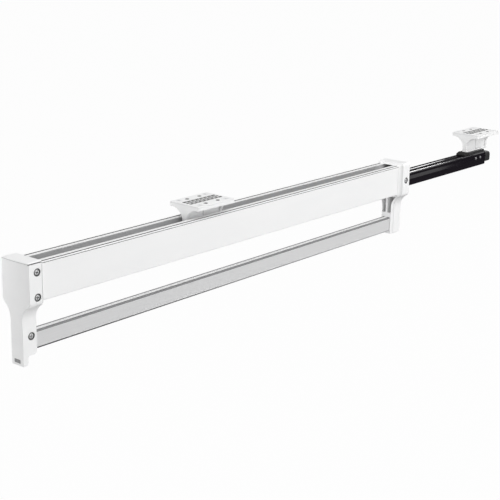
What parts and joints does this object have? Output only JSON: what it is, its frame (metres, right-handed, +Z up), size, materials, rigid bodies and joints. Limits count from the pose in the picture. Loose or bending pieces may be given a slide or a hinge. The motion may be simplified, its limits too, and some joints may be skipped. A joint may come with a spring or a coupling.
{
  "type": "pull-out clothes rail",
  "caption": "Pull-out clothes rail that hangs under a wardrobe shelf: a white slotted channel with a pull grip and a flat hanging bar slides on a fixed black rail.",
  "frame": {"origin": "centre of the front mount's four shelf screws, on the top face of its pad, the underside of the shelf", "axes": "+X across, +Y back into the wardrobe along the slide, +Z up; the channel pulls out towards -Y"},
  "size_m": [0.0346, 0.7251, 0.0977],
  "materials": {
    "white_moulding": "satin moulded white",
    "white_pad": "satin moulded white",
    "white_channel": "white powder coat on an extrusion",
    "black_rail": "gloss black",
    "black_plastic": "black moulding",
    "rubber": "dark rubber",
    "screw_steel": "zinc plated",
    "rivet_steel": "zinc plated",
    "slide_steel": "zinc plated",
    "cage_steel": "zinc plated strip",
    "ball_steel": "polished",
    "satin_bar": "satin anodised",
    "pale_strip": "pale grey strip",
    "grey_badge": "blank grey inlay"
  },
  "bodies": {
    "mounts_and_rail": {"front_mount_bracket": "white_moulding", "front_mount_pad": "white_pad", "front_pad_screws": "screw_steel", "front_saddle": "black_plastic", "front_stem_screws": "screw_steel", "rear_mount_bracket": "white_moulding", "rear_mount_pad": "white_pad", "rear_pad_screws": "screw_steel", "rear_saddle": "black_plastic", "rear_stem_screws": "screw_steel", "fixed_rail": "black_rail", "rail_end_plug": "black_plastic", "end_plug_rivets": "rivet_steel", "cage_stop_rivet": "rivet_steel", "closing_buffer": "rubber", "opening_stop": "rubber", "opening_stop_screw": "screw_steel"},
    "ball_cage": {"ball_cage": "cage_steel", "slide_balls": "ball_steel"},
    "pull_out": {"body_profile": "white_channel", "runner": "slide_steel", "runner_screws": "screw_steel", "front_bracket": "white_moulding", "front_bracket_screws": "screw_steel", "grip_badge": "grey_badge", "rear_bracket": "white_moulding", "rear_bracket_screws": "screw_steel", "opening_pad": "rubber", "hanging_bar": "satin_bar", "bar_strip": "pale_strip", "rear_bar_screw": "screw_steel"}
  },
  "joints": [
    {"name": "pull_out_slide", "type": "slide", "parent": "mounts_and_rail", "child": "pull_out", "axis": [0, -1, 0], "range_m": [-0.1345, 0.2]},
    {"name": "ball_cage_slide", "type": "slide", "parent": "mounts_and_rail", "child": "ball_cage", "axis": [0, -1, 0], "range_m": [-0.06725, 0.1]}
  ],
  "couplings": [
    {"joint": "ball_cage_slide", "follows": "pull_out_slide", "ratio": 0.5}
  ]
}
